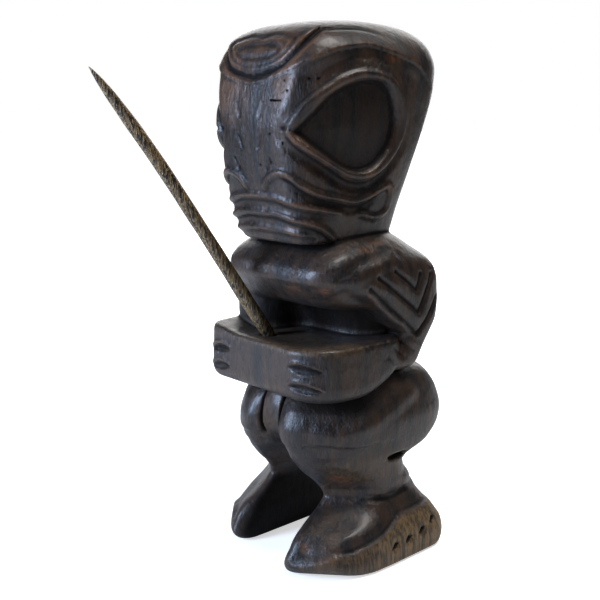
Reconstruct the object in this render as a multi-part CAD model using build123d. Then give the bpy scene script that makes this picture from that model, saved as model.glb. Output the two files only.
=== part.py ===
"""Carved tiki figure with a loose spear.

The figure is one block of dark hardwood: big-eyed head, hunched shoulders, a square forearm ledge with the
hands on it, bent legs and wedge feet. The spear is a tapered palm-wood stick that stands in a blind hole
drilled in the ledge and lifts out along its own axis.

Frame: millimetres, +Z up, the figure faces -Y, its own left side is +X.
The origin is on the standing plane, midway between the two soles.
"""

import math
import os

from build123d import *

# ---- Driving dimensions ----
HEIGHT = 400.0  # floor to crown
LEDGE_TOP = 172.0  # upper face of the forearm ledge
LEDGE_BOTTOM = 129.0
LEDGE_EDGE = 5.0  # rounding of the ledge's upper edge; the lower edge is twice as round
LEDGE_CORNER = 12.0  # rounding of the ledge's upright corners
CHIN = 247.0  # underside of the jaw
RELIEF = 2.5  # how far carved bands stand proud of the head

EYE_BEAK = (-78.0, 323.0)  # y and z of the pointed front corner of the eye
EYE_TOP, EYE_BOTTOM, EYE_BACK = 364.0, 290.0, 23.0
EYE_RIM = 8.0  # width of the raised rim

SPEAR_FOOT = (-12.0, -51.0, LEDGE_TOP)  # where the spear's axis meets the ledge
SPEAR_LEAN = (-38.0, -121.0, 191.0)  # direction from the ledge towards the tip
SPEAR_REACH = 229.0  # length standing above the ledge
SPEAR_R = 4.6  # the stick's radius above the ledge
SPEAR_SHOULDER = 5.0  # how far up the axis the full thickness starts, clear of the ledge
SPEAR_BOW = 3.5  # how far the stick bows out of straight
SPEAR_BOW_WAY = (0.47, 0.69, 0.55)  # back and up, towards the head
# Up the stick: share of its height, share of its radius, share of its bow.
SPEAR_SHAPE = (
    (0, 1, 0),
    (0.3, 1, 0.55),
    (0.6, 1.02, 1),
    (0.8, 0.95, 0.85),
    (0.91, 0.72, 0.6),
    (1, 0.1, 0.35),
)
TENON_R = 4.0  # the end that stands in the socket
SOCKET_DEPTH = 24.0
SOCKET_CLEARANCE = 0.15  # radial, so that the spear slides out by hand
TENON_GAP = 0.5  # left under the tenon

SECTION_POINTS = 20


def section(z, half_width, front, back, squareness=2.6, taper=0.0, middle=0.0, front_squareness=None):
    """Closed outline at height z: a superellipse from y=front to y=back, centred on x=middle.

    taper narrows it towards the front, as a share of its half width.
    The front half may be squarer than the back.
    """
    centre, half_depth = (front + back) / 2, (back - front) / 2
    points = []
    for i in range(SECTION_POINTS):
        angle = 2 * math.pi * i / SECTION_POINTS
        c, s = math.cos(angle), math.sin(angle)
        power = 2 / (front_squareness if front_squareness and s < 0 else squareness)
        x = math.copysign(abs(c) ** power, c)
        y = math.copysign(abs(s) ** power, s)
        narrow = 1 - taper * max(0.0, -y)
        points.append((middle + half_width * narrow * x, centre + half_depth * y, z))
    return Face(Wire(Spline(*points, periodic=True)))


def limb_section(z, inner, outer, front, back, squareness=2.8, cut=0.0):
    """Closed outline of a left limb: straight inner edge, outer edge cut back towards the front."""
    centre, half_depth = (front + back) / 2, (back - front) / 2
    points = []
    for i in range(SECTION_POINTS):
        angle = 2 * math.pi * i / SECTION_POINTS
        c, s = math.cos(angle), math.sin(angle)
        x = math.copysign(abs(c) ** (2 / squareness), c)
        y = math.copysign(abs(s) ** (2 / squareness), s)
        reach = (outer - inner) / 2 * (1 + x) * (1 - cut * max(0.0, -y))
        points.append((inner + reach, centre + half_depth * y, z))
    return Face(Wire(Spline(*points, periodic=True)))


def stack(*rows, shape=section):
    """Solid lofted through flat outlines, lowest first."""
    return loft([shape(*row) for row in rows])


def both_sides(shape):
    """The shape and its mirror image across the middle plane."""
    return [shape, mirror(shape, about=Plane.YZ)]


def ellipsoid(centre, radii):
    return Pos(*centre) * scale(Sphere(1), by=radii)


def head_block(grow=0.0):
    """The head without its carving, its surface moved outwards by grow."""
    g = grow
    return stack(
        (CHIN - g, 44 + g, -59 - g, 33 + g, 3.4, 0.12, 0, 6),
        (262, 49 + g, -65 - g, 38 + g, 3.4, 0.2, 0, 7),
        (290, 57 + g, -72 - g, 48 + g, 3.6, 0.28, 0, 7),
        (325, 63 + g, -77 - g, 58 + g, 3.8, 0.33, 0, 7),
        (350, 66 + g, -77 - g, 63 + g, 3.8, 0.33, 0, 7),
        (372, 65 + g, -70 - g, 63 + g, 3.4, 0.3, 0, 5),
        (388, 55 + g, -54 - g, 53 + g, 2.8, 0.26, 0, 4),
        (396, 41 + g, -38 - g, 41 + g, 2.5, 0.2, 0, 3),
        (HEIGHT, 14 + g, -12 - g, 20 + g, 2.2),
    )


def eye_outline(inset=0.0):
    """The teardrop eye seen from the side, a face in the YZ plane, drawn inside its full size by inset."""
    y, z = EYE_BEAK
    beak = (y + 2 * inset, z)
    over = [(-50, EYE_TOP - 10 - inset), (-20, EYE_TOP - inset), (10, EYE_TOP - 13 - inset)]
    back = [(EYE_BACK - inset, (EYE_TOP + EYE_BOTTOM) / 2)]
    under = [(5, EYE_BOTTOM + 9 + inset), (-20, EYE_BOTTOM + inset), (-50, EYE_BOTTOM + 10 + inset)]
    path = Spline(beak, *over, *back, *under, beak, tangents=[(1, 1), (-1, 0.7)])
    return Plane.YZ * make_face(path)


def head_carving():
    """Raised eye rims, lips and ears, as solids that stand RELIEF proud of the head block."""
    proud = head_block(RELIEF)
    rim = extrude(eye_outline() - eye_outline(EYE_RIM), amount=80)
    ear = Plane.YZ * Pos(-5, CHIN + 25) * Ellipse(13, 11)
    raised = both_sides(rim) + both_sides(extrude(ear, amount=80))
    for low, high in ((CHIN + 4, CHIN + 15), (CHIN + 18, CHIN + 28)):
        lip = Pos(0, -60, (low + high) / 2) * Box(140, 40, high - low)
        raised.append(lip)
    return [solid & proud for solid in raised]


def head():
    disc = ellipsoid((0, -52, 373), (34, 20, 20))
    return head_block().fuse(disc, *head_carving())


def neck():
    return stack((240, 37, -44, 28), (CHIN + 4, 38, -50, 29))


def chest():
    return stack(
        (194, 50, -40, 48, 2.8, 0.1, 0, 3.5),
        (206, 60, -56, 55, 3.0, 0.12, 0, 4),
        (220, 65, -64, 55, 3.0, 0.14, 0, 4),
        (232, 62, -60, 47, 2.8, 0.14, 0, 4),
        (244, 50, -46, 38, 2.5, 0.1, 0, 3.5),
        (252, 34, -26, 26, 2.3),
    )


def belly():
    """The trunk between chest and hips, set back so that the forearm ledge stands well in front of it."""
    return stack(
        (LEDGE_BOTTOM - 12, 54, -36, 52),
        (150, 52, -30, 44),
        (LEDGE_TOP, 52, -16, 46),
        (200, 50, -22, 50),
    )


def upper_arm():
    """The left arm from shoulder to elbow, bent forward into the ledge."""
    return stack(
        (144, 36, 60, 0, 38, 2.4),
        (152, 31, 65, -12, 46, 2.6),
        (172, 25, 69, -6, 52, 2.8),
        (200, 18, 70, -28, 59, 3.0),
        (222, 16, 68, -34, 57, 2.8),
        (238, 20, 57, -10, 44, 2.4),
        (248, 28, 44, 6, 28, 2.2),
        shape=limb_section,
    )


def forearm_ledge():
    """The square shelf of two forearms and two closed hands, its lower edges more rounded than its upper."""
    height = LEDGE_TOP - LEDGE_BOTTOM
    outline = make_face(
        Polyline((-61, -71), (61, -71), (67, -30), (64, 34), (-64, 34), (-67, -30), close=True)
    )
    outline = fillet(outline.vertices(), LEDGE_CORNER)
    block = Pos(0, 0, LEDGE_BOTTOM) * extrude(outline, amount=height)
    block = fillet(block.edges().group_by(Axis.Z)[-1], LEDGE_EDGE)
    return fillet(block.edges().group_by(Axis.Z)[0], 2 * LEDGE_EDGE)


def leg():
    """The left leg from ankle to hip: bent knee in front, seat bulging behind."""
    return stack(
        (36, 28, 58, -30, 36, 2.4, 0.1),
        (52, 23, 60, -41, 43, 2.6, 0.1),
        (64, 18, 58, -47, 42, 2.6, 0.25),
        (78, 10, 62, -57, 56, 2.7, 0.4),
        (92, 2, 66, -62, 74, 2.8, 0.4),
        (106, -4, 67, -62, 79, 2.8, 0.32),
        (122, -4, 63, -56, 75, 2.7, 0.2),
        (140, 1, 57, -42, 58, 2.5, 0.15),
        (152, 12, 46, -12, 34, 2.3),
        shape=limb_section,
    )


def foot():
    """The left foot: a wedge with a flat sole, steep at the toes and flared outwards."""
    return stack(
        (0, 27, 79, -69, 67, 4, 0.5),
        (7, 27, 79, -69, 67, 4, 0.5),
        (14, 27, 77, -67, 66, 3.8, 0.48),
        (28, 27, 71, -60, 60, 3.4, 0.4),
        (42, 26, 62, -48, 49, 3.0, 0.25),
        (54, 26, 57, -38, 40, 2.6, 0.1),
        shape=limb_section,
    )


def groin():
    """The bulge between the thighs."""
    return ellipsoid((0, -34, 112), (10, 24, 22))


def spear_plane(lift=0.0):
    """A plane square to the spear, lift mm up its axis; its own X is the way the stick bows."""
    plane = Plane(origin=SPEAR_FOOT, x_dir=SPEAR_BOW_WAY, z_dir=SPEAR_LEAN)
    return plane.offset(lift)


def socket():
    """The blind hole for the spear's tenon, running out past the top of the ledge."""
    radius = TENON_R + SOCKET_CLEARANCE
    hole = Cylinder(radius, SOCKET_DEPTH + 20, align=(Align.CENTER, Align.CENTER, Align.MIN))
    return spear_plane(-SOCKET_DEPTH) * hole


def tiki_figure():
    """Everything fused outwards from the belly, then the socket drilled."""
    legs, feet, arms = both_sides(leg()), both_sides(foot()), both_sides(upper_arm())
    figure = belly()
    for solid in (*legs, groin(), *feet, forearm_ledge(), chest(), *arms, neck(), head()):
        figure = figure + solid
    return figure - socket()


def spear():
    """A straight tenon under a slightly bowed stick that keeps its thickness nearly to its point."""
    length = SOCKET_DEPTH - TENON_GAP + SPEAR_SHOULDER
    tenon = Cylinder(TENON_R, length + 1, align=(Align.CENTER, Align.CENTER, Align.MIN))
    tenon = spear_plane(TENON_GAP - SOCKET_DEPTH) * tenon
    rings = []
    for height, thickness, bow in SPEAR_SHAPE:
        lift = SPEAR_SHOULDER + height * (SPEAR_REACH - SPEAR_SHOULDER)
        rings.append(spear_plane(lift) * Pos(bow * SPEAR_BOW, 0) * Circle(SPEAR_R * thickness))
    return tenon + loft(rings)


def main():
    os.makedirs("parts", exist_ok=True)
    for build in (tiki_figure, spear):
        export_step(build(), f"parts/{build.__name__}.step")


if __name__ == "__main__":
    main()
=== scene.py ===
"""Carved tiki figure with a loose spear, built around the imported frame.

The figure is one carved block, so its visible mesh is sculpted as a distance field: rounded blocks are
blended together, carved lines and hollows move the surface in or out, and the zero level becomes the mesh.
Working units are millimetres, +Z up from the soles, the figure faces -Y and its own left side is +X.
"""

import math

import bpy
import numpy as np
import openvdb
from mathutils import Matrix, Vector


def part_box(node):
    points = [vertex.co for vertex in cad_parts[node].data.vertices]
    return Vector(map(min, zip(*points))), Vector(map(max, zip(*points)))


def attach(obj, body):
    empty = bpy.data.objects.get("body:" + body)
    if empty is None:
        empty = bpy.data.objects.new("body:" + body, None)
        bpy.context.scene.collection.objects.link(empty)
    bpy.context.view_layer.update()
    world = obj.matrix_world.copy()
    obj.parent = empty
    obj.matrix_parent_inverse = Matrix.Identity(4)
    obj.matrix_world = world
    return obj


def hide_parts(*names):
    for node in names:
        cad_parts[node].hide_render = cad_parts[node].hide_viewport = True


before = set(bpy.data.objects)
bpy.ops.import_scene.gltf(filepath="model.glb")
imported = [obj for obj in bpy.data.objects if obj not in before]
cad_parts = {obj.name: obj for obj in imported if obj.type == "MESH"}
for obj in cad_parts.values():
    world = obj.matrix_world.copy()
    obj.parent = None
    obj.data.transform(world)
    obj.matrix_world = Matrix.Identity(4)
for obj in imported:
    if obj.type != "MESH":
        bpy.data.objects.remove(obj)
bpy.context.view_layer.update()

FIGURE_LOW, FIGURE_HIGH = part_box("tiki_figure")
SCALE = (FIGURE_HIGH.z - FIGURE_LOW.z) / 400.0  # metres in one working unit
FINE_VOXEL = 1.3
VOXEL = FINE_VOXEL
COARSE = 3  # coarse cells, in voxels, used to find where the surface is
HEAD_AXIS_Y = -8.0  # the upright line that head angles are measured around
CHIN = 247.0
LEDGE_TOP = 172.0


# ---------------------------------------------------------------- field tools

def smooth_min(a, b, k):
    h = np.maximum(k - np.abs(a - b), 0.0) / k
    return np.minimum(a, b) - h * h * k / 4


def smooth_max(a, b, k):
    return -smooth_min(-a, -b, k)


def step(low, high, v):
    """Smooth step from 0 at low to 1 at high."""
    t = np.clip((v - low) / (high - low), 0.0, 1.0)
    return t * t * (3 - 2 * t)


def bump(distance, width):
    """Rounded ridge profile: 1 on the line, 0 beyond width."""
    t = np.clip(distance / width, -1.0, 1.0)
    return (1 - t * t) ** 2


def profile(z, rows):
    """Columns of rows after the first, read at z: smooth, with no overshoot between rows."""
    rows = np.asarray(rows, float)
    at, values = rows[:, 0], rows[:, 1:]
    gap = np.diff(at)[:, None]
    slope = np.diff(values, axis=0) / gap
    tangent = np.zeros_like(values)
    same = slope[:-1] * slope[1:] > 0
    total = np.where(same, slope[:-1] + slope[1:], 1.0)
    tangent[1:-1] = np.where(same, 2 * slope[:-1] * slope[1:] / total, 0.0)
    tangent[0], tangent[-1] = slope[0], slope[-1]
    i = np.clip(np.searchsorted(at, z) - 1, 0, len(at) - 2)
    t = np.clip((z - at[i]) / gap[i, 0], 0.0, 1.0)[:, None]
    out = ((1 + 2 * t) * values[i] + t * gap[i] * tangent[i]) * (1 - t) ** 2
    out += ((3 - 2 * t) * values[i + 1] - (1 - t) * gap[i] * tangent[i + 1]) * t ** 2
    return out.T


def superellipse(u, v, n, wide, deep):
    """Rough distance to |u|^n + |v|^n = 1, where u and v are shares of the half sizes wide and deep."""
    u, v = np.abs(u) + 1e-6, np.abs(v) + 1e-6
    g = (u ** n + v ** n) ** (1 / n)
    slope = np.hypot((u / g) ** (n - 1) / wide, (v / g) ** (n - 1) / deep)
    return (g - 1) / slope


def slab(x, y, z, rows, ends):
    """Upright block, centred on x=0.

    Rows: z, half width, front, back, squareness, taper towards the front, squareness of the front half.
    """
    wide, front, back, n, taper, n_front = profile(z, rows)
    middle, deep = (front + back) / 2, (back - front) / 2
    v = (y - middle) / deep
    narrow = 1 - taper * np.clip(-v, 0, 1)
    d = superellipse(x / (wide * narrow), v, np.where(v < 0, n_front, n), wide * narrow, deep)
    return smooth_max(d, np.maximum(rows[0][0] - z, z - rows[-1][0]), ends)


def limb(x, y, z, rows, ends):
    """Upright block on the left side with a straight inner face.

    Rows: z, inner, outer, front, back, squareness, share cut from its width at the front.
    """
    inner, outer, front, back, n, cut = profile(z, rows)
    middle, deep = (front + back) / 2, (back - front) / 2
    v = (y - middle) / deep
    wide = (outer - inner) / 2 * (1 - cut * np.clip(-v, 0, 1))
    d = superellipse((x - inner) / wide - 1, v, n, wide, deep)
    return smooth_max(d, np.maximum(rows[0][0] - z, z - rows[-1][0]), ends)


def ellipsoid(x, y, z, centre, radii):
    u = [(a - c) / r for a, c, r in zip((x, y, z), centre, radii)]
    k0 = np.sqrt(u[0] ** 2 + u[1] ** 2 + u[2] ** 2)
    k1 = np.sqrt(sum((c / r) ** 2 for c, r in zip(u, radii))) + 1e-9
    return k0 * (k0 - 1) / k1


def spline(points, closed=False, per_span=6):
    """Catmull-Rom curve through the points."""
    p = np.asarray(points, float)
    p = np.vstack([p[-1], p, p[:2]]) if closed else np.vstack([2 * p[0] - p[1], p, 2 * p[-1] - p[-2]])
    t = np.linspace(0, 1, per_span, endpoint=False)[:, None]
    out = []
    for a, b, c, d in zip(p, p[1:], p[2:], p[3:]):
        bend = a - 2.5 * b + 2 * c - d / 2
        twist = 1.5 * (b - c) + (d - a) / 2
        out.append(b + t * (c - a) / 2 + t ** 2 * bend + t ** 3 * twist)
    out.append(p[-2][None])
    return np.vstack(out)


def reach_of(points, line, margin):
    """Which points lie in the line's box grown by margin."""
    low, high = line.min(0) - margin, line.max(0) + margin
    return np.all((points > low) & (points < high), axis=1)


def line_distance(points, line):
    """Distance from each point to a polyline, in any number of dimensions."""
    best = np.full(len(points), 1e9)
    for a, b in zip(line, line[1:]):
        ab = b - a
        ap = points - a
        t = np.clip(ap @ ab / max(ab @ ab, 1e-9), 0, 1)
        gap = ap - t[:, None] * ab
        best = np.minimum(best, np.einsum("ij,ij->i", gap, gap))
    return np.sqrt(best)


def inside(u, v, loop):
    """Whether flat points lie inside a closed loop."""
    odd = np.zeros(len(u), bool)
    for (u0, v0), (u1, v1) in zip(loop, np.vstack([loop[1:], loop[:1]])):
        if v0 != v1:
            crosses = ((v0 > v) != (v1 > v)) & (u < (u1 - u0) * (v - v0) / (v1 - v0) + u0)
            odd ^= crosses
    return odd


# ---------------------------------------------------------------- head

# Rows as slab() reads them.
HEAD = [
    (243, 44, -60, 36, 3.4, 0.10, 6),
    (262, 50, -66, 39, 3.4, 0.19, 7),
    (290, 57, -73, 46, 3.6, 0.27, 7),
    (325, 63, -77, 57, 3.8, 0.33, 7),
    (350, 66, -77, 64, 3.8, 0.32, 7),
    (372, 67, -76, 66, 3.6, 0.27, 6),
    (404, 67, -76, 66, 3.4, 0.25, 5),
]


def head_block(x, y, z):
    """The head without its carving. Its crown falls away gently to the front and steeply to the back."""
    d = slab(x, y, z, HEAD, 5)
    t = np.abs(y - 10) / 74
    drop = np.where(y < 10, 9 * t ** 2 + 9 * t ** 10, 58 * t ** 3.4)
    crown = 399.5 - 24 * np.abs(x / 66) ** 3.2 - drop
    return smooth_max(d, (z - crown) * 0.9, 12)


def head_degrees(x, y):
    """Angle round the head from the nose line, 0 to 180 on both sides."""
    return np.degrees(np.arctan2(np.abs(x), HEAD_AXIS_Y - y))


def on_head(curve):
    """3-D points on the head block, on the left side, for (degrees, z) pairs."""
    angle, z = np.radians(curve[:, 0]), curve[:, 1]
    low, high = np.zeros(len(curve)), np.full(len(curve), 140.0)
    for _ in range(30):
        r = (low + high) / 2
        out = head_block(r * np.sin(angle), HEAD_AXIS_Y - r * np.cos(angle), z) > 0
        high, low = np.where(out, r, high), np.where(out, low, r)
    return np.column_stack([r * np.sin(angle), HEAD_AXIS_Y - r * np.cos(angle), z])


# Lines on the head as (degrees round from the nose, height).
EYE_RIM = [
    (27, 323), (33, 336), (40, 345), (49, 353), (59, 360), (73, 364), (87, 362), (97, 356), (104, 346),
    (109, 331), (108, 314), (100, 299), (88, 289.5), (76, 286.5), (63, 289), (48, 299), (36, 308.5),
    (30, 315),
]
EYE_INSIDE = [
    (33, 322), (41, 333), (50, 344), (60, 351), (73, 355.5), (85, 355), (92, 348.5), (97.5, 338),
    (100, 325), (97, 310), (86.5, 298.5), (75, 294), (61, 297), (46, 307.5), (37, 316.5),
]
BROW_EDGE = [
    (0, 353), (10, 354.5), (20, 358), (29, 361.5), (39, 366), (49, 371), (58, 375), (74, 378), (84, 377),
    (101, 372), (114, 366), (130, 352), (150, 335), (180, 325),
]
BAND_TOP = [
    (0, 358.5), (10, 360), (18, 362.5), (25, 366), (33, 374), (39, 381), (46, 388), (54, 389), (73, 390),
    (88, 388), (104, 383), (119, 375), (135, 362), (152, 345), (180, 335),
]
CHEEK = [
    (9, 284), (14, 290), (22, 293.5), (29, 291.5), (36, 285), (46, 279), (61, 275), (74, 273), (88, 277),
    (101, 283), (107, 281), (110, 273), (108, 264), (96, 260.5), (80, 264),
]
CHEEK_SWEEP = 10  # this many points of the cheek line run back to the ear, and the rest curl under it
UPPER_LIP = [(0, 277), (18, 276), (32, 271.5), (48, 268), (60, 266)]
LOWER_LIP = [(0, 264.5), (16, 264.5), (31, 261), (40, 258.5), (48, 254.5), (57, 247)]
CHIN_LINE = [(0, 253.5), (18, 252.5), (36, 250.5)]
TONGUE_RINGS = [
    [(0, 365), (12, 366), (21, 369.5), (27, 375), (31, 382)],
    [(0, 379.5), (12, 379.5), (20, 376), (14, 371.5), (0, 370.5)],
    [(0, 384), (14, 386), (30, 383)],
]
BEAK_CREASE = [(26, 323.5), (30, 323.5), (34, 322)]
NOSE_CUTS = [((12, 340.5), (9, 332)), ((10, 319), (7.5, 311)), ((16, 303), (13, 296))]

LONGEST_MOVE = 100.0  # mm; keeps points above and below the head from running away on their way to it


def head_relief(x, y, z):
    """How far the carving stands proud of the head block. Lines are measured on the block itself."""
    degrees = head_degrees(x, y)
    across, along = np.sin(np.radians(degrees)), -np.cos(np.radians(degrees))
    r = np.hypot(x, y - HEAD_AXIS_Y)
    for _ in range(4):
        off = head_block(r * across, HEAD_AXIS_Y + r * along, z)
        r = r - np.clip(off, -LONGEST_MOVE, LONGEST_MOVE)
    p = np.column_stack([r * across, HEAD_AXIS_Y + r * along, z])
    relief = np.zeros(len(x))

    def near(curve, margin, closed=False):
        line = on_head(spline(curve, closed))
        m = reach_of(p, line, margin)
        return m, line_distance(p[m], line)

    # Tongue of wood over the forehead, the band under it, and the groove between.
    brow = np.interp(degrees, *zip(*spline(BROW_EDGE)))
    top = np.interp(degrees, *zip(*spline(BAND_TOP)))
    share = np.clip((z - brow) / (top - brow), 0, 1)
    roll = (2.5 * (1 - share) ** 1.5 + 0.9 * share) * step(140, 106, degrees)
    relief += step(-1.0, 1.0, z - brow) * roll * step(345, 352, z)
    m, d = near(BAND_TOP, 9)
    relief[m] -= 2.8 * bump(d, 4.2) * step(104, 64, degrees[m]) * step(400, 380, z[m])
    in_tongue = step(0, 5, z - top) * step(60, 38, degrees)
    relief += 2.4 * in_tongue * step(397, 380, z)
    for ring in TONGUE_RINGS:
        m, d = near(ring, 6)
        relief[m] -= 1.3 * bump(d, 3.0)

    # Eye: hollow under the brow that comes out again to the rim, proud rim, sunk eye.
    def signed(curve, margin):
        m, d = near(curve, margin, closed=True)
        return m, np.where(inside(degrees[m], z[m], spline(curve, closed=True)[:-1]), -d, d)

    m, d = signed(EYE_RIM, 40)
    under_brow = brow[m] - z[m]
    scoop = step(0, 2, under_brow) * step(30, 42, degrees[m]) * step(165, 125, degrees[m])
    depth = 1.9 * step(-1, 10, under_brow) * step(26, 14, d) * scoop * step(300, 340, z[m])
    relief[m] -= depth * step(0, 8, d)
    relief[m] -= 2.2 * bump(d - 3, 6) * step(340, 300, z[m])
    relief[m] += 2.4 * step(0.8, -3.2, d) + 1.2 * bump(d + 4.4, 4)
    m, d = signed(EYE_INSIDE, 40)
    relief[m] -= 5.4 * step(1.6, -1.8, d) - 2.2 * step(-4, -32, d)
    m, d = near(BEAK_CREASE, 6)
    relief[m] -= 1.3 * bump(d, 2.4)

    # Cheek scroll that starts as the nostril and ends round the ear, with a hollow under its sweep.
    m, d = near(CHEEK, 14)
    below = np.interp(degrees[m], *zip(*spline(CHEEK[:CHEEK_SWEEP]))) - z[m]
    swept = step(20, 30, degrees[m]) * step(98, 88, degrees[m])
    relief[m] += 2.2 * bump(d, 4.0)
    relief[m] -= 2.0 * step(0.5, 4, below) * step(12, 4, below) * swept

    # Lips: ridges with hollows between.
    for curve, height in ((UPPER_LIP, 1.7), (LOWER_LIP, 2.1), (CHIN_LINE, 1.5)):
        m, d = near(curve, 8)
        relief[m] += height * bump(d, 3.6)
        under = np.interp(degrees[m], *zip(*curve)) - z[m]
        relief[m] -= 1.0 * step(0, 3, under) * step(9, 4, under) * step(62, 45, degrees[m])

    for cut in NOSE_CUTS:
        m, d = near(cut, 6)
        relief[m] -= 1.1 * bump(d, 3.0)
    return relief


def head(x, y, z):
    return head_block(x, y, z) - head_relief(x, y, z)


# ---------------------------------------------------------------- body

# Rows as slab() reads them for chest and belly, and as limb() reads them for the rest.
CHEST = [
    (193, 52, -34, 48, 2.8, 0.05, 4),
    (199, 58, -45, 53, 3.0, 0.06, 5),
    (206, 61, -51, 55, 3.0, 0.07, 5.5),
    (213, 63, -57, 56, 3.0, 0.09, 6),
    (219, 64, -61, 55, 3.0, 0.10, 6),
    (225, 64, -60, 53, 2.8, 0.09, 6),
    (233, 62, -54, 46, 2.8, 0.07, 5.5),
    (242, 55, -43, 38, 2.6, 0.06, 4),
    (252, 38, -24, 26, 2.4, 0.05, 3),
]
BELLY = [
    (110, 50, -38, 50, 2.6, 0, 2.6),
    (150, 50, -24, 44, 2.6, 0, 2.6),
    (172, 50, -10, 46, 2.6, 0, 2.6),
    (190, 52, -14, 50, 2.6, 0, 2.8),
    (206, 54, -30, 50, 2.6, 0, 3),
]
NEAR_ARM = [
    (144, 36, 62, 8, 33, 2.6, 0),
    (152, 31, 66, 6, 38, 2.8, 0),
    (162, 27, 67, 12, 43, 2.8, 0),
    (172, 25, 68, 16, 49, 3.0, 0),
    (185, 20, 70, 0, 57, 3.2, 0),
    (200, 18, 70, -18, 60, 3.2, 0),
    (210, 16, 70, -36, 60, 3.4, 0),
    (219, 16, 69, -44, 58, 3.4, 0.05),
    (227, 16, 66, -44, 53, 3.2, 0.1),
    (238, 20, 54, -30, 40, 2.6, 0.1),
    (249, 28, 43, -10, 23, 2.4, 0),
]
# Between ledge and chest the far arm comes further forward.
FAR_ARM = [(row[0], 18, row[2], -45, row[4], 3.0, 0) if 165 < row[0] < 205 else row for row in NEAR_ARM]
LEG = [
    (74, 8, 62, -50, 56, 2.8, 0.1),
    (84, 4, 66, -60, 68, 2.8, 0.1),
    (94, 0, 68, -65, 76, 2.8, 0.1),
    (106, -4, 69, -66, 79, 2.8, 0.1),
    (120, -4, 66, -61, 77, 2.7, 0.1),
    (132, -2, 62, -52, 70, 2.6, 0.1),
    (146, 4, 54, -36, 55, 2.5, 0.1),
]
CALF = [
    (36, 27, 58, -34, 38, 2.8, 0),
    (46, 25, 61, -38, 42, 3.0, 0),
    (58, 20, 63, -43, 44, 3.0, 0),
    (70, 13, 63, -52, 44, 3.0, 0),
    (86, 5, 64, -62, 44, 3.0, 0),
]
FOOT = [
    (0, 25.5, 79, -75, 69, 6.5, 0.05),
    (9, 25.5, 79, -78, 69, 6.5, 0.05),
    (20, 25.5, 77, -75.5, 64, 4.8, 0.05),
    (32, 26, 72, -63, 57.5, 4.0, 0),
    (44, 26, 64, -50, 48, 3.4, 0),
    (54, 26, 60, -38, 45, 3.0, 0),
]
# How far out the corners of leg and foot reach, as (z, reach) along DIAGONAL or its mirror to the back.
DIAGONAL = (0.669, -0.743)
FRONT_CORNER = [
    (0, 77.5), (9, 76), (16, 71.5), (29, 64.5), (38, 55), (44, 49.5), (50, 46), (56, 46.5), (64, 50),
    (73, 57), (80, 63), (88, 68), (98, 69), (108, 68.5), (120, 64.5), (134, 54),
]
BACK_CORNER = [
    (20, 92), (36, 80), (50, 70), (56, 66.5), (62, 60), (72, 58), (78, 65), (84, 82), (100, 100),
]


def ledge(x, y, z):
    """The two forearms and hands as one block, with a dished top that rises towards the far side."""
    half = 63 + 4 * step(-71, -20, y) - 1.5 * step(-10, 30, y) - 0.06 * (z - 150)
    floor = 131.5 + 21 * step(-30, 42, y)
    corner = 13 + 17 * step(0, 40, x)
    qx, qy = np.abs(x) - half + corner, np.abs(y + 20) - 51 + corner
    flat = np.hypot(np.maximum(qx, 0), np.maximum(qy, 0)) - corner + np.minimum(np.maximum(qx, qy), 0)
    dish = 1.6 * step(58, 30, np.abs(x)) * step(-70, -50, y)
    d = smooth_max(flat, z - LEDGE_TOP - 4 * step(-25, -64, x) + dish, 5)
    return smooth_max(d, floor - z, 13)


# Chevrons on the upper arm as (y, z) on its outer face, and short cuts by the elbow.
CHEVRONS = [
    [(3, 222), (24, 207), (29, 218)],
    [(-14, 219), (27, 190), (42, 216)],
    [(-22, 212), (28, 173), (49, 198)],
]
ELBOW_CUTS = [[(-2, 160), (8, 152)], [(6, 165), (17, 156)], [(14, 169), (25, 160)], [(22, 172), (33, 164)]]
# Where the foot's top meets the sole band and where the band is notched, as (y, z); where the calf meets the
# foot, in 3-D.
SOLE_BAND = [(-75, 8), (-65, 14), (-54, 18), (-39, 18), (-10, 25), (10, 33), (36, 33), (60, 32)]
ANKLE = [(26, -46, 60), (40, -42, 57), (48, -31, 52), (58, -13, 48), (62, 8, 45), (60, 27, 46)]
NOTCHES = [(-2, 15), (13, 16), (29, 18), (43, 22)]
# Soft ridges on the left side, over the shoulder's edge and up across the thigh, as (points, width).
RIDGES = [
    ([(56, -46, 216), (60, -40, 218), (63, -31, 222), (64, -20, 225), (64, -9, 228), (63, 4, 231)], 8),
    ([(46, -50, 105), (55, -41, 103), (62, -30, 108), (65, -14, 114), (65, 6, 121), (62, 28, 128)], 11),
]
RIDGE_HEIGHT = 1.8


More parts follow.
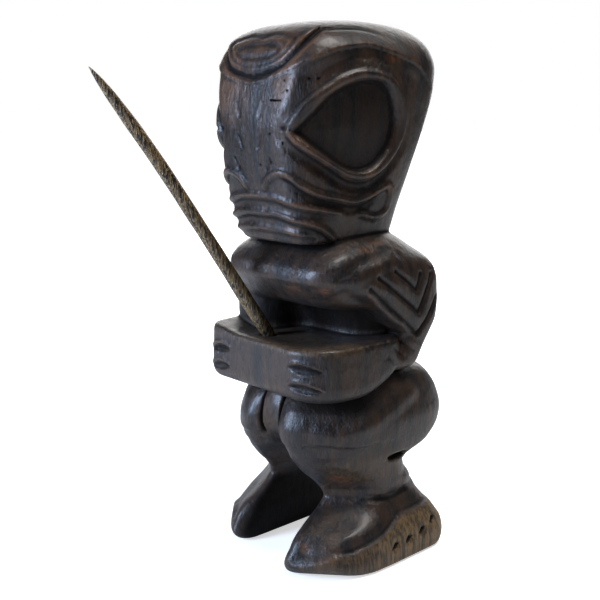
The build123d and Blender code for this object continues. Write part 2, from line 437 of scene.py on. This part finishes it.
def body_relief(x, y, z):
    """How far the carving below the head stands proud of the blocks."""
    ax = np.abs(x)
    relief = np.zeros(len(x))
    flat = np.column_stack([y, z])

    def near(line, margin, region):
        m = reach_of(flat, line, margin) & region
        return m, line_distance(flat[m], line)

    for chevron in CHEVRONS:
        m, d = near(np.array(chevron, float), 7, ax > 52)
        relief[m] -= 2.3 * bump(d, 3.4)
    for cut in ELBOW_CUTS:
        m, d = near(np.array(cut, float), 5, ax > 52)
        relief[m] -= 0.8 * bump(d, 2.4)

    # Finger marks on the front of the ledge.
    for height in (157.5, 143.7):
        u = (ax - 45.5) / 14
        v = (z - height + 1.5 * u) / 3.6
        leaf = np.clip(1 - u ** 2, 0, 1)
        shape = np.clip(1 - (v / np.maximum(leaf, 0.05)) ** 2, 0, 1) * leaf
        relief -= 2.4 * shape ** 0.8 * (y < -44)
        relief += 0.8 * bump(v - 1.35 * leaf, 0.7) * (leaf > 0) * (y < -44)

    # Groin slits.
    slit = bump(ax - 10.5, 1.5) * step(92, 100, z) * step(-30, -42, y)
    relief -= 4.0 * slit * step(130, 127, z)

    # Flat cut under the thigh, with an arched upper edge.
    under = z - 95 - 3 * bump(ax - 46, 18)
    relief -= 1.8 * step(2.2, -2.2, under) * step(-26, -8, under) * step(14, -16, y) * step(8, 16, ax)

    # Foot: the sole band stands proud of the top, with small notches; the calf is cut in round the ankle.
    band = z - np.interp(y, *zip(*SOLE_BAND))
    outer = step(44, 54, ax - 0.12 * y)
    relief -= 2.4 * step(-0.8, 2.6, band) * step(25, 6, band) * outer * (z < 60)
    for cy, cz in NOTCHES:
        u, v = (y - cy) / 6.4, (z - cz) / 4.0
        tooth = np.clip(1 - np.abs(u) - np.abs(v - 0.5 * u), 0, 1)
        relief -= 4.4 * tooth * (ax > 64)
    p = np.column_stack([x, y, z])
    for points, width in RIDGES:
        line = spline(points)
        m = reach_of(p, line, width)
        relief[m] += RIDGE_HEIGHT * bump(line_distance(p[m], line), width)
    p = np.column_stack([ax, y, z])
    line = spline(ANKLE)
    m = reach_of(p, line, 7)
    relief[m] -= 2.0 * bump(line_distance(p[m] - (0, 0, 1.5), line), 4.0)
    return relief


# Spear: foot on the ledge, direction, and the drilled hole it stands in.
SPEAR_FOOT = np.array([-12.0, -51.0, LEDGE_TOP])
SPEAR_WAY = np.array([-38.0, -121.0, 191.0]) / math.sqrt(38 ** 2 + 121 ** 2 + 191 ** 2)
HOLE_DEPTH = 24.0
HOLE_RADIUS = 4.9


def drilled_hole(x, y, z):
    """The spear's blind hole, a little wider at its mouth."""
    p = np.column_stack([x, y, z]) - SPEAR_FOOT
    along = p @ SPEAR_WAY
    across = np.sqrt(np.maximum((p ** 2).sum(1) - along ** 2, 0))
    mouth = HOLE_RADIUS + 1.3 * step(-5, 1, along)
    return np.maximum(across - mouth, -HOLE_DEPTH - along)


def body(x, y, z):
    """Everything below the head, without its carving. The near foot reaches further out than the far one."""
    ax = np.abs(x)
    arm = np.where(x > 0, limb(ax, y, z, NEAR_ARM, 8), limb(ax, y, z, FAR_ARM, 8))
    upper = smooth_min(slab(x, y, z, CHEST, 8), arm, 6)
    trunk = slab(x, y, z, BELLY, 6)
    upper = smooth_min(upper, trunk, 3 + 12 * step(0, -10, x))
    upper = smooth_min(upper, ledge(x, y, z), 2.5)
    lower = smooth_min(limb(ax, y, z, LEG, 12), limb(ax, y, z, CALF, 4), 5)
    lower = smooth_min(lower, limb(ax, y, z, FOOT, 6), 2)
    corner = np.interp(z, *zip(*FRONT_CORNER)) + np.where(x > 0, 8.5, 0) * step(44, 24, z)
    rounding = 9 + 20 * step(36, 16, z)
    lower = smooth_max(lower, DIAGONAL[0] * ax + DIAGONAL[1] * y - corner - (rounding - 9) / 2.8, rounding)
    corner = np.interp(z, *zip(*BACK_CORNER))
    lower = smooth_max(lower, DIAGONAL[0] * ax - DIAGONAL[1] * y - corner, 9)
    groin = ellipsoid(x, y, z, (0, -33, 116), (22, 26.5, 27))
    lower = smooth_min(lower, groin, 7)
    under_buttock = ellipsoid(ax, y, z, (65, 13, 79.5), (9.5, 10, 2.3))
    lower = smooth_max(lower, -under_buttock, 3)
    return smooth_min(upper, lower, 2)


def figure(x, y, z):
    d = smooth_min(body(x, y, z) - body_relief(x, y, z), head(x, y, z), 1.5)
    d = smooth_max(d, -drilled_hole(x, y, z), 1)
    return np.maximum(d, -z)


# ---------------------------------------------------------------- surface marks, painted light and painted shade

# Patches rubbed through the stain, in mm: middle and radii along x, y and z.
RUBBED = [
    ((55.5, -19, 238.5), (5, 8, 3)), ((53.5, -5, 242), (5, 9, 3)), ((45, -29, 66.5), (10, 9, 5)),
    ((41, -63, 21.5), (5, 5, 4)), ((52, -52, 212), (9, 5, 4)), ((20, -58, 211), (9, 5, 3)),
    ((62, 14, 159), (3, 3, 2)), ((64, 0, 371), (4, 9, 4)), ((42, -71, 316), (5, 5, 4)),
    ((46, -50, 299.5), (6, 9, 2.5)), ((37, -66, 273), (5, 4, 2)), ((27, -63, 255), (8, 4, 2)),
    ((55, 5, 280), (4, 5, 4)), ((-27, -24, 48), (4, 5, 4)), ((54, 8, 180), (4, 4, 4)),
]
# Worm holes on the head as (degrees, height), and a short cut across the brow, both drawn as painted shade.
HOLES = [
    (27, 355), (29, 348), (26, 314), (45, 389), (40, 356),
    (45, 356), (27, 368), (18, 320), (8, 299), (17, 301),
]
HOLE_SHADE_EDGE = (1.6, 0.7)  # distances from the middle, mm, where the dark of a hole starts and is full
CUT_HEIGHT = 342
CUT_DEGREES = (18, 25)
CUT_SHADE_EDGE = (1.3, 0.6)
MM_PER_DEGREE = 1.2  # round the brow, at the cut
# Painted light on the calf, where the floor's reflection falls, as middle and radii, and how much of the bare
# wood colour it paints there and on the lit top of the ledge.
CALF_PAINTED_LIGHT = ((50, -12, 76), (34, 42, 17))
PAINTED_LIGHT_SHARE = 0.3
# How dark the painted shade is: inside the sunk eye, in the recesses above the ledge and between the feet,
# and under the ledge.
EYE_SHADE, RECESS_SHADE, UNDER_LEDGE_SHADE = 0.55, 0.8, 0.7


def marks_at(points):
    """Shares, from 0 to 1, of rubbed wear, bare wood and painted light, painted shade, and painted shade in
    holes at each surface point.
    """
    x, y, z = points.T
    rubbed = np.zeros(len(points))
    for middle, radii in RUBBED:
        gap = np.linalg.norm((points - middle) / np.array(radii), axis=1)
        rubbed = np.maximum(rubbed, step(1.2, 0.3, gap))
    ax = np.abs(x)
    band = z - np.interp(y, *zip(*SOLE_BAND))
    # the sole band's bare wood, its own colour
    bare_and_lit = step(1.5, -1.5, band) * step(44, 56, ax) * (0.25 + 0.75 * step(-60, 0, y))
    # painted light on the calf, where the floor's reflection falls, and on the front of the ledge top, lit
    # from above, painted part way to the bare wood colour
    middle, radii = CALF_PAINTED_LIGHT
    calf_light = step(1.1, 0.4, np.linalg.norm((points - middle) / radii, axis=1))
    top = step(LEDGE_TOP - 6, LEDGE_TOP - 3, z) * step(LEDGE_TOP + 6, LEDGE_TOP + 4, z)
    painted_light = np.maximum(calf_light, top * step(-20, -34, y))
    bare_and_lit = np.maximum(bare_and_lit, PAINTED_LIGHT_SHARE * painted_light)

    degrees = head_degrees(x, y)
    eye = spline(EYE_INSIDE, closed=True)
    # painted shade inside the sunk eye
    shade_share = EYE_SHADE * inside(degrees, z, eye[:-1]) * (z > CHIN)
    # painted shade in the recess between chest and ledge, and on the inner sides of the feet
    above_ledge = step(LEDGE_TOP, LEDGE_TOP + 5, z) * step(206, 198, z) * step(-52, -40, y) * step(60, 50, ax)
    inner_foot = step(58, 44, z) * step(31, 27, ax)
    shade_share = np.maximum(shade_share, RECESS_SHADE * np.maximum(above_ledge, inner_foot))
    # painted shade on the thighs just under the ledge
    under_ledge = step(114, 124, z) * step(140, 132, z) * step(8, -22, y) * step(16, 30, ax)
    shade_share = np.maximum(shade_share, UNDER_LEDGE_SHADE * under_ledge)

    radius = np.hypot(x, y - HEAD_AXIS_Y)
    # painted shade standing in for the worm holes and the brow cut, which the mesh does not carve
    hole_shade = np.zeros(len(points))
    for angle, height in HOLES:
        gap = np.hypot(np.radians(degrees) * radius * (1 - angle / np.maximum(degrees, 1)), z - height)
        hole_shade = np.maximum(hole_shade, step(*HOLE_SHADE_EDGE, gap))
    start, end = CUT_DEGREES
    past = np.maximum(np.maximum(start - degrees, degrees - end), 0) * MM_PER_DEGREE
    hole_shade = np.maximum(hole_shade, step(*CUT_SHADE_EDGE, np.hypot(past, z - CUT_HEIGHT)))
    hole_shade *= (x > 0) & (z > CHIN)
    return {"rubbed": rubbed, "bare_and_lit": bare_and_lit * 0.9, "hole_shade": hole_shade, "painted_shade": shade_share}


# ---------------------------------------------------------------- field to mesh

def sample(field, cells):
    """Trilinear read of a grid at fractional cell positions."""
    cells = np.clip(cells, 0, np.array(field.shape) - 1.001)
    i = cells.astype(int)
    f = cells - i
    out = np.zeros(len(cells))
    for dx in (0, 1):
        for dy in (0, 1):
            for dz in (0, 1):
                w = np.abs(1 - dx - f[:, 0]) * np.abs(1 - dy - f[:, 1]) * np.abs(1 - dz - f[:, 2])
                out += w * field[i[:, 0] + dx, i[:, 1] + dy, i[:, 2] + dz]
    return out


MARGIN = 4  # voxels of empty space round the piece
EXACT_REACH = 9.0  # mm from the surface within which the field is exact; the coarse grid serves beyond it
EMPTY = 20.0  # field value far outside
# Bend of the surface, as the field's second difference over two voxels, from which ridges look worn and
# hollows get painted shade, and the further bend at which they are fully so.
WORN_FROM, SHADE_FROM, BEND_SPAN = 0.8, 0.5, 2.4
MOST_SHADE = 0.9


def carve(name, shape, low, high, voxel):
    """Mesh object for the zero level of shape inside the box low to high."""
    low = np.asarray(low, float) - MARGIN * voxel
    count = np.ceil((np.asarray(high, float) + MARGIN * voxel - low) / (voxel * COARSE)).astype(int) + 1
    axes = [low[k] + voxel * COARSE * np.arange(count[k]) for k in range(3)]
    coarse_points = np.stack(np.meshgrid(*axes, indexing="ij"), -1).reshape(-1, 3)
    coarse = shape(*coarse_points.T).reshape(count)
    fine_count = (count - 1) * COARSE + 1
    cells = np.stack(np.meshgrid(*[np.arange(n) for n in fine_count], indexing="ij"), -1).reshape(-1, 3)
    field = sample(coarse, cells / COARSE)
    near = np.abs(field) < EXACT_REACH + voxel
    points = low + cells[near] * voxel
    field[near] = shape(*points.T)
    field = field.reshape(fine_count).astype(np.float32)
    grid = openvdb.FloatGrid(background=EMPTY)
    grid.copyFromArray(field)
    spots, quads = grid.convertToQuads(isovalue=0.0)
    spots = np.asarray(spots, float)
    gradient = np.gradient(field)
    for _ in range(2):  # move each vertex onto the zero level
        slope = np.column_stack([sample(g, spots) for g in gradient])
        size = np.maximum((slope ** 2).sum(1), 0.05)
        move = -(sample(field, spots) / size)[:, None] * slope
        spots += np.clip(move, -0.7, 0.7)
    where = (low + spots * voxel) * SCALE
    where[:, 2] += FIGURE_LOW.z
    mesh = bpy.data.meshes.new(name)
    mesh.vertices.add(len(where))
    mesh.vertices.foreach_set("co", where.astype(np.float32).ravel())
    quads = np.asarray(quads, np.int32)
    mesh.loops.add(quads.size)
    mesh.loops.foreach_set("vertex_index", quads.ravel())
    mesh.polygons.add(len(quads))
    mesh.polygons.foreach_set("loop_start", np.arange(len(quads), dtype=np.int32) * 4)
    mesh.update(calc_edges=True)
    mesh.validate()
    mesh.shade_smooth()
    bend = -6.0 * sample(field, spots)
    for axis in np.eye(3):
        for side in (-2.0, 2.0):
            bend += sample(field, spots + side * axis)
    bend *= FINE_VOXEL / voxel
    marks = marks_at(low + spots * voxel)
    marks["wear"] = np.clip((bend - WORN_FROM) / BEND_SPAN, 0, 1)
    # painted shade: concave places are darkened, the more the further the surface bends in
    painted_shade = np.clip((-bend - SHADE_FROM) / BEND_SPAN, 0, MOST_SHADE)
    marks["painted_shade"] = np.maximum(marks["painted_shade"], painted_shade)
    for key, values in marks.items():
        mesh.attributes.new(key, "FLOAT", "POINT").data.foreach_set("value", values.astype(np.float32))
    obj = bpy.data.objects.new(name, mesh)
    bpy.context.scene.collection.objects.link(obj)
    return obj


FIGURE_BOX = ((-82, -82, -2), (82, 82, 402))  # holds the whole figure

figure_piece = carve("carved_figure", figure, *FIGURE_BOX, VOXEL)
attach(figure_piece, "figure")
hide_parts("tiki_figure")


# ---------------------------------------------------------------- materials

class Graph:
    """A node material built from the surface shader backwards."""

    def __init__(self, name):
        self.material = bpy.data.materials.new(name)
        self.material.use_nodes = True
        self.tree = self.material.node_tree
        self.surface = self.tree.nodes["Principled BSDF"]

    def put(self, socket, value):
        if isinstance(value, bpy.types.NodeSocket):
            self.tree.links.new(value, socket)
        elif socket.type == "RGBA":
            socket.default_value = (*value, 1.0)
        else:
            socket.default_value = value

    def node(self, kind, inputs, output=0, **settings):
        made = self.tree.nodes.new(kind)
        for key, value in settings.items():
            setattr(made, key, value)
        for key, value in inputs.items():
            self.put(made.inputs[key], value)
        return made.outputs[output]

    def grain(self, across, along, detail=3.0, rough=0.6, offset=(0.0, 0.0, 0.0), turn=(0.0, 0.0, 0.0)):
        """Noise stretched along the piece: cell sizes in metres across and along the grain."""
        place = self.node("ShaderNodeTexCoord", {}, "Object")
        place = self.node("ShaderNodeMapping", {"Vector": place, "Location": offset, "Rotation": turn,
                                                "Scale": (1 / across, 1 / across, 1 / along)})
        inputs = {"Vector": place, "Scale": 1.0, "Detail": detail, "Roughness": rough}
        return self.node("ShaderNodeTexNoise", inputs)

    def between(self, value, low, high, out_low=0.0, out_high=1.0):
        return self.node("ShaderNodeMapRange", {"Value": value, "From Min": low, "From Max": high,
                                                "To Min": out_low, "To Max": out_high},
                         interpolation_type="SMOOTHSTEP")

    def maths(self, how, a, b):
        return self.node("ShaderNodeMath", {0: a, 1: b}, operation=how, use_clamp=how != "SUBTRACT")

    def mix(self, share, a, b):
        return self.node("ShaderNodeMix", {0: share, 6: a, 7: b}, 2, data_type="RGBA")

    def attribute(self, name):
        return self.node("ShaderNodeAttribute", {}, "Fac", attribute_name=name)

    def height(self, value, depth, under=None):
        inputs = {"Height": value, "Distance": depth, "Strength": 1.0}
        if under is not None:
            inputs["Normal"] = under
        return self.node("ShaderNodeBump", inputs)

    def finish(self, **inputs):
        for key, value in inputs.items():
            self.put(self.surface.inputs[key.replace("_", " ")], value)
        return self.material


def dark_wood():
    g = Graph("dark_wood")
    fibres = g.grain(0.0009, 0.016, 4.0, 0.65)
    pores = g.between(g.grain(0.0005, 0.006, 2.0, 0.5, (3.1, 1.7, 0.4)), 0.56, 0.68)
    bands = g.grain(0.011, 0.11, 3.0, 0.55, (7.0, 2.0, 5.0))
    patches = g.grain(0.03, 0.045, 3.0, 0.6, (1.0, 9.0, 4.0))
    dents = g.grain(0.006, 0.011, 2.0, 0.5, (5.0, 5.0, 2.0))
    wear = g.maths("MULTIPLY", g.attribute("wear"), g.between(patches, 0.38, 0.62))
    wear = g.maths("MULTIPLY", wear, g.between(fibres, 0.3, 0.6, 0.45, 1.0))
    rubbed = g.maths("MULTIPLY", g.attribute("rubbed"), g.between(fibres, 0.38, 0.62, 0.05, 0.8))
    colour = g.mix(g.between(bands, 0.36, 0.66), (0.007, 0.0055, 0.006), (0.042, 0.0215, 0.012))
    colour = g.mix(g.between(fibres, 0.48, 0.72, 0.0, 0.65), colour, (0.075, 0.042, 0.023))
    colour = g.mix(g.between(pores, 0.0, 1.0, 0.0, 0.6), colour, (0.005, 0.004, 0.004))
    colour = g.mix(g.between(wear, 0.1, 1.0, 0.0, 0.7), colour, (0.13, 0.064, 0.03))
    streaks = g.between(g.grain(0.0021, 0.04, 3.0, 0.6, (2.0, 3.0, 8.0)), 0.36, 0.62)
    bare_and_lit = g.mix(streaks, (0.055, 0.036, 0.02), (0.22, 0.14, 0.06))
    # bare wood colour: the sole band's own, and painted light on the calf and ledge top
    colour = g.mix(g.attribute("bare_and_lit"), colour, bare_and_lit)
    colour = g.mix(rubbed, colour, (0.16, 0.062, 0.02))
    # painted shade: near black where the shade map is full, which also dulls the gloss
    colour = g.mix(g.attribute("painted_shade"), colour, (0.005, 0.004, 0.004))
    # painted shade of the worm holes and the cut
    colour = g.mix(g.attribute("hole_shade"), colour, (0.001, 0.001, 0.001))
    rough = g.between(fibres, 0.3, 0.7, 0.3, 0.46)
    rough = g.maths("ADD", rough, g.maths("MULTIPLY", g.attribute("painted_shade"), 0.25))
    rough = g.maths("ADD", rough, g.maths("MULTIPLY", g.attribute("bare_and_lit"), 0.15))
    normal = g.height(dents, 0.0011)
    normal = g.height(fibres, 0.00035, normal)
    normal = g.height(g.maths("SUBTRACT", 0.0, pores), 0.00016, normal)
    dull = g.maths("MAXIMUM", g.attribute("hole_shade"), g.maths("MULTIPLY", g.attribute("painted_shade"), 0.75))
    return g.finish(Base_Color=colour, Roughness=rough, Normal=normal, IOR=1.5,
                    Specular_IOR_Level=g.between(dull, 0.0, 1.0, 0.5, 0.0),
                    Coat_Weight=g.between(dull, 0.0, 1.0, 0.15, 0.0), Coat_Roughness=0.2,
                    Sheen_Weight=0.02, Sheen_Roughness=0.6)


def palm_wood():
    g = Graph("palm_wood")
    fibres = g.grain(0.0006, 0.02, 3.0, 0.6)
    streaks = g.between(g.grain(0.0014, 0.022, 2.0, 0.5, (4.0, 1.0, 2.0)), 0.47, 0.56)
    flecks = g.between(g.grain(0.0008, 0.007, 2.0, 0.5, (2.0, 6.0, 3.0)), 0.55, 0.62)
    colour = g.mix(g.between(fibres, 0.3, 0.7), (0.045, 0.028, 0.012), (0.23, 0.145, 0.06))
    colour = g.mix(streaks, colour, (0.008, 0.006, 0.005))
    colour = g.mix(flecks, colour, (0.3, 0.22, 0.12))
    rough = g.between(fibres, 0.3, 0.7, 0.38, 0.55)
    normal = g.height(fibres, 0.0003)
    normal = g.height(streaks, 0.0002, normal)
    return g.finish(Base_Color=colour, Roughness=rough, Normal=normal, IOR=1.5, Coat_Weight=0.1,
                    Coat_Roughness=0.3, Sheen_Weight=0.02)


figure_piece.data.materials.append(dark_wood())


# ---------------------------------------------------------------- spear

SPEAR_REACH = 229.0
SPEAR_BOW = 3.5
BOW_WAY = np.array([0.47, 0.69, 0.55])
# Radius along the spear as (share of its reach, mm); the peg in the hole comes first.
SPEAR_RADII = [(-0.1, 3.7), (-0.095, 4.0), (-0.012, 4.0), (0.0, 4.9), (0.1, 5.1), (0.3, 4.9), (0.55, 4.8),
               (0.72, 4.6), (0.82, 4.2), (0.9, 3.4), (0.95, 2.3), (0.98, 1.3), (1.0, 0.25)]

SPEAR_SIDES = 40


def spear_mesh():
    """Slightly bowed, slightly uneven round stick with a long point."""
    share = np.concatenate([[-0.1, -0.095], np.linspace(-0.085, -0.014, 6), np.linspace(0, 0.94, 130),
                            np.linspace(0.945, 1.0, 22)])
    radius = np.interp(share, *zip(*SPEAR_RADII))
    w = np.clip(share, 0, 1) ** 1.6
    bow_way = BOW_WAY - SPEAR_WAY * (BOW_WAY @ SPEAR_WAY)
    bow_way /= np.linalg.norm(bow_way)
    spine = SPEAR_FOOT + np.outer(share * SPEAR_REACH, SPEAR_WAY)
    spine += np.outer(SPEAR_BOW * 4 * w * (1 - w) + 1.2 * w ** 3, bow_way)
    side = np.cross(SPEAR_WAY, bow_way)
    turn = np.linspace(0, 2 * math.pi, SPEAR_SIDES, endpoint=False)
    wave = np.outer(share * 21, np.ones(SPEAR_SIDES)) + turn
    uneven = 1 + 0.022 * np.sin(2 * turn + 9 * share[:, None])
    uneven += 0.018 * np.sin(3 * turn - 17 * share[:, None])
    uneven += 0.012 * np.sin(wave * 2.0) * (share[:, None] > 0)
    rings = spine[:, None] + (radius[:, None] * uneven)[..., None] * (
        np.cos(turn)[None, :, None] * bow_way + np.sin(turn)[None, :, None] * side)
    verts = np.vstack([rings.reshape(-1, 3), spine[:1], spine[-1:] + SPEAR_WAY * 0.2])
    last = (len(share) - 1) * SPEAR_SIDES
    bottom, tip = len(verts) - 2, len(verts) - 1
    around = [(j, (j + 1) % SPEAR_SIDES) for j in range(SPEAR_SIDES)]
    faces = []
    for low in range(0, last, SPEAR_SIDES):
        high = low + SPEAR_SIDES
        faces += [(low + j, low + k, high + k, high + j) for j, k in around]
    for j, k in around:
        faces.append((bottom, k, j))
        faces.append((tip, last + j, last + k))
    verts = verts * SCALE + np.array([0, 0, FIGURE_LOW.z])
    mesh = bpy.data.meshes.new("palm_spear")
    mesh.from_pydata([tuple(v) for v in verts], [], faces)
    mesh.shade_smooth()
    obj = bpy.data.objects.new("palm_spear", mesh)
    bpy.context.scene.collection.objects.link(obj)
    return obj


spear_piece = spear_mesh()
spear_piece.data.materials.append(palm_wood())
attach(spear_piece, "spear")
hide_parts("spear")


# ---------------------------------------------------------------- stage, light, camera

FLOOR_HALF = 20.0  # metres from the middle of the floor to its edges
PALE = (0.8, 0.8, 0.8)
WHITE = (1.0, 1.0, 1.0)


def floor_piece():
    """Pale floor that fades to white away from the figure, by a glow that is bright only to the camera."""
    mesh = bpy.data.meshes.new("floor")
    corners = [(-1, -1), (1, -1), (1, 1), (-1, 1)]
    corners = [(x * FLOOR_HALF, y * FLOOR_HALF, FIGURE_LOW.z) for x, y in corners]
    mesh.from_pydata(corners, [], [(0, 1, 2, 3)])
    obj = bpy.data.objects.new("floor", mesh)
    bpy.context.scene.collection.objects.link(obj)
    g = Graph("pale_floor")
    seen = g.node("ShaderNodeLightPath", {}, "Is Camera Ray")
    away = g.node("ShaderNodeVectorMath", {0: g.node("ShaderNodeTexCoord", {}, "Object")}, "Value",
                  operation="LENGTH")
    white = g.between(away, 0.3, 1.0, 0.62, 1.2)
    glow = g.node("ShaderNodeMix", {0: seen, 2: 0.1, 3: white}, data_type="FLOAT")
    g.finish(Base_Color=PALE, Roughness=0.9, Emission_Color=WHITE, Emission_Strength=glow)
    mesh.materials.append(g.material)


def area_light(name, where, aim, size, power, colour):
    light = bpy.data.lights.new(name, "AREA")
    light.shape = "RECTANGLE"
    light.size, light.size_y = size
    light.energy = power
    light.color = colour
    obj = bpy.data.objects.new(name, light)
    obj.location = where
    obj.rotation_euler = (Vector(aim) - Vector(where)).to_track_quat("-Z", "Y").to_euler()
    bpy.context.scene.collection.objects.link(obj)


MIDDLE = (0.0, 0.0, 0.2)  # of the figure, in metres
# Name, place and size in metres, watts, colour.
LIGHTS = [
    ("window", (-0.5, -1.5, 0.65), (0.5, 0.8), 43, (0.58, 0.73, 1.0)),
    ("backdrop", (-1.3, 1.3, 0.9), (2.2, 1.4), 31, WHITE),
    ("overhead", (0.5, 0.1, 1.6), (0.6, 0.45), 19, (1.0, 0.99, 0.97)),
]

floor_piece()
for light_name, place, size, power, colour in LIGHTS:
    area_light(light_name, place, MIDDLE, size, power, colour)

world = bpy.data.worlds.new("studio")
world.use_nodes = True
tree = world.node_tree
seen = tree.nodes.new("ShaderNodeLightPath")
blend = tree.nodes.new("ShaderNodeMapRange")
blend.inputs["To Min"].default_value = 0.06  # dim to everything but the camera, which keeps the wood dark
tree.links.new(seen.outputs["Is Camera Ray"], blend.inputs["Value"])
tree.nodes["Background"].inputs["Color"].default_value = (*WHITE, 1.0)
tree.links.new(blend.outputs[0], tree.nodes["Background"].inputs["Strength"])
bpy.context.scene.world = world
bpy.context.scene.view_settings.view_transform = "Standard"
bpy.context.scene.view_settings.gamma = 0.88  # deepens the wood and leaves the floor white

CAMERA_PLACE = (495, -475, 329)  # in the working units
CAMERA_DOWN, CAMERA_HEADING = 11.3, 48.0  # degrees

camera = bpy.data.cameras.new("camera")
camera.lens, camera.sensor_width = 54, 36
camera_piece = bpy.data.objects.new("camera", camera)
bpy.context.scene.collection.objects.link(camera_piece)
camera_piece.location = Vector(CAMERA_PLACE) * SCALE
camera_piece.rotation_euler = (math.radians(90 - CAMERA_DOWN), 0, math.radians(CAMERA_HEADING))
bpy.context.scene.camera = camera_piece
